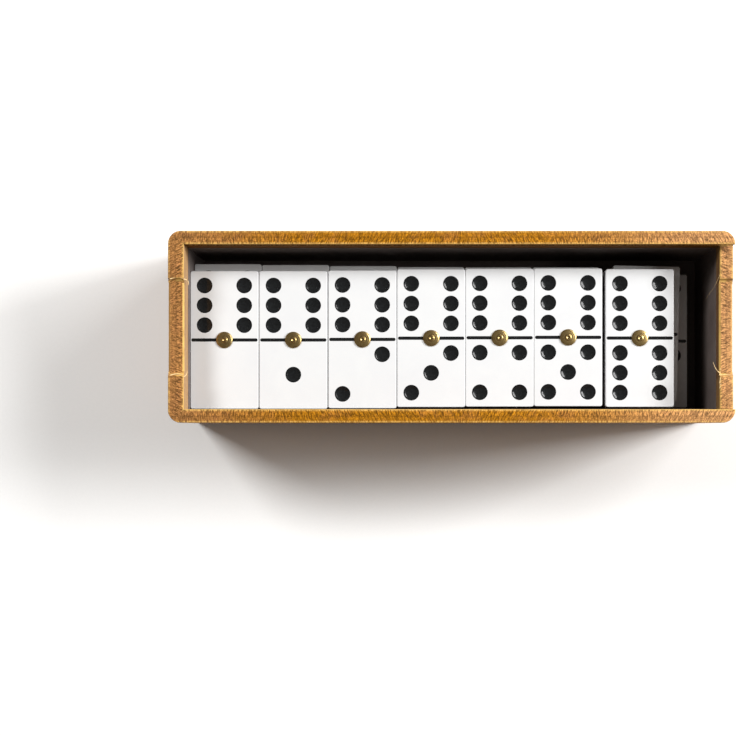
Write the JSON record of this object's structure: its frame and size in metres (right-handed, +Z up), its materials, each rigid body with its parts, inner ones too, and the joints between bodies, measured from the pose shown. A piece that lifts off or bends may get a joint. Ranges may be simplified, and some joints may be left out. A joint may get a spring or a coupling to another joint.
{
  "type": "domino storage box",
  "caption": "Open wooden box holding a double-six domino set in flat layers; dominoes with dished pips, a bar and a brass spinner pin lift straight out.",
  "frame": {"origin": "middle of the underside of the box", "axes": "+X along the box to the low entrance end, +Y to the rear wall, +Z up out of the open top"},
  "size_m": [0.2012, 0.068, 0.0625],
  "materials": {
    "stained_wood": "amber-brown stain, sawn rim",
    "black_lining": "matt black",
    "domino_resin": "polished ivory white",
    "black_enamel": "glossy black enamel",
    "brass": "aged olive brass"
  },
  "bodies": {
    "case": {"floor_board": "stained_wood", "rear_wall": "stained_wood", "front_wall": "stained_wood", "left_end_wall": "stained_wood", "right_end_wall": "stained_wood", "floor_lining": "black_lining", "rear_lining": "black_lining", "front_lining": "black_lining", "left_end_lining": "black_lining", "right_end_lining": "black_lining"},
    "domino_3_3": {"tile_3_3": "domino_resin"},
    "domino_4_1": {"tile_4_1": "domino_resin"},
    "domino_5_0": {"tile_5_0": "domino_resin"},
    "domino_6_0": {"tile_6_0": "domino_resin", "pips_6_0": "black_enamel", "pin_6_0": "brass"},
    "domino_2_0": {"tile_2_0": "domino_resin"},
    "domino_4_2": {"tile_4_2": "domino_resin"},
    "domino_5_1": {"tile_5_1": "domino_resin"},
    "domino_6_1": {"tile_6_1": "domino_resin", "pips_6_1": "black_enamel", "pin_6_1": "brass"},
    "domino_2_1": {"tile_2_1": "domino_resin"},
    "domino_4_3": {"tile_4_3": "domino_resin"},
    "domino_5_2": {"tile_5_2": "domino_resin"},
    "domino_6_2": {"tile_6_2": "domino_resin", "pips_6_2": "black_enamel", "pin_6_2": "brass"},
    "domino_2_2": {"tile_2_2": "domino_resin"},
    "domino_4_4": {"tile_4_4": "domino_resin"},
    "domino_5_3": {"tile_5_3": "domino_resin"},
    "domino_6_3": {"tile_6_3": "domino_resin", "pips_6_3": "black_enamel", "pin_6_3": "brass"},
    "domino_1_0": {"tile_1_0": "domino_resin"},
    "domino_3_0": {"tile_3_0": "domino_resin"},
    "domino_5_4": {"tile_5_4": "domino_resin"},
    "domino_6_4": {"tile_6_4": "domino_resin", "pips_6_4": "black_enamel", "pin_6_4": "brass"},
    "domino_1_1": {"tile_1_1": "domino_resin"},
    "domino_3_1": {"tile_3_1": "domino_resin"},
    "domino_5_5": {"tile_5_5": "domino_resin"},
    "domino_6_5": {"tile_6_5": "domino_resin", "pips_6_5": "black_enamel", "pin_6_5": "brass"},
    "domino_0_0": {"tile_0_0": "domino_resin"},
    "domino_3_2": {"tile_3_2": "domino_resin"},
    "domino_4_0": {"tile_4_0": "domino_resin"},
    "domino_6_6": {"tile_6_6": "domino_resin", "pips_6_6": "black_enamel", "pin_6_6": "brass"}
  },
  "joints": [
    {"name": "lift_3_3", "type": "slide", "parent": "case", "child": "domino_3_3", "axis": [0, 0, 1], "range_m": [0, 0.066]},
    {"name": "lift_4_1", "type": "slide", "parent": "domino_3_3", "child": "domino_4_1", "axis": [0, 0, 1], "range_m": [0, 0.055]},
    {"name": "lift_5_0", "type": "slide", "parent": "domino_4_1", "child": "domino_5_0", "axis": [0, 0, 1], "range_m": [0, 0.044]},
    {"name": "lift_6_0", "type": "slide", "parent": "domino_5_0", "child": "domino_6_0", "axis": [0, 0, 1], "range_m": [0, 0.033]},
    {"name": "lift_2_0", "type": "slide", "parent": "case", "child": "domino_2_0", "axis": [0, 0, 1], "range_m": [0, 0.066]},
    {"name": "lift_4_2", "type": "slide", "parent": "domino_2_0", "child": "domino_4_2", "axis": [0, 0, 1], "range_m": [0, 0.055]},
    {"name": "lift_5_1", "type": "slide", "parent": "domino_4_2", "child": "domino_5_1", "axis": [0, 0, 1], "range_m": [0, 0.044]},
    {"name": "lift_6_1", "type": "slide", "parent": "domino_5_1", "child": "domino_6_1", "axis": [0, 0, 1], "range_m": [0, 0.033]},
    {"name": "lift_2_1", "type": "slide", "parent": "case", "child": "domino_2_1", "axis": [0, 0, 1], "range_m": [0, 0.066]},
    {"name": "lift_4_3", "type": "slide", "parent": "domino_2_1", "child": "domino_4_3", "axis": [0, 0, 1], "range_m": [0, 0.055]},
    {"name": "lift_5_2", "type": "slide", "parent": "domino_4_3", "child": "domino_5_2", "axis": [0, 0, 1], "range_m": [0, 0.044]},
    {"name": "lift_6_2", "type": "slide", "parent": "domino_5_2", "child": "domino_6_2", "axis": [0, 0, 1], "range_m": [0, 0.033]},
    {"name": "lift_2_2", "type": "slide", "parent": "case", "child": "domino_2_2", "axis": [0, 0, 1], "range_m": [0, 0.066]},
    {"name": "lift_4_4", "type": "slide", "parent": "domino_2_2", "child": "domino_4_4", "axis": [0, 0, 1], "range_m": [0, 0.055]},
    {"name": "lift_5_3", "type": "slide", "parent": "domino_4_4", "child": "domino_5_3", "axis": [0, 0, 1], "range_m": [0, 0.044]},
    {"name": "lift_6_3", "type": "slide", "parent": "domino_5_3", "child": "domino_6_3", "axis": [0, 0, 1], "range_m": [0, 0.033]},
    {"name": "lift_1_0", "type": "slide", "parent": "case", "child": "domino_1_0", "axis": [0, 0, 1], "range_m": [0, 0.066]},
    {"name": "lift_3_0", "type": "slide", "parent": "domino_1_0", "child": "domino_3_0", "axis": [0, 0, 1], "range_m": [0, 0.055]},
    {"name": "lift_5_4", "type": "slide", "parent": "domino_3_0", "child": "domino_5_4", "axis": [0, 0, 1], "range_m": [0, 0.044]},
    {"name": "lift_6_4", "type": "slide", "parent": "domino_5_4", "child": "domino_6_4", "axis": [0, 0, 1], "range_m": [0, 0.033]},
    {"name": "lift_1_1", "type": "slide", "parent": "case", "child": "domino_1_1", "axis": [0, 0, 1], "range_m": [0, 0.066]},
    {"name": "lift_3_1", "type": "slide", "parent": "domino_1_1", "child": "domino_3_1", "axis": [0, 0, 1], "range_m": [0, 0.055]},
    {"name": "lift_5_5", "type": "slide", "parent": "domino_3_1", "child": "domino_5_5", "axis": [0, 0, 1], "range_m": [0, 0.044]},
    {"name": "lift_6_5", "type": "slide", "parent": "domino_5_5", "child": "domino_6_5", "axis": [0, 0, 1], "range_m": [0, 0.033]},
    {"name": "lift_0_0", "type": "slide", "parent": "case", "child": "domino_0_0", "axis": [0, 0, 1], "range_m": [0, 0.066]},
    {"name": "lift_3_2", "type": "slide", "parent": "domino_0_0", "child": "domino_3_2", "axis": [0, 0, 1], "range_m": [0, 0.055]},
    {"name": "lift_4_0", "type": "slide", "parent": "domino_3_2", "child": "domino_4_0", "axis": [0, 0, 1], "range_m": [0, 0.044]},
    {"name": "lift_6_6", "type": "slide", "parent": "domino_4_0", "child": "domino_6_6", "axis": [0, 0, 1], "range_m": [0, 0.033]}
  ]
}
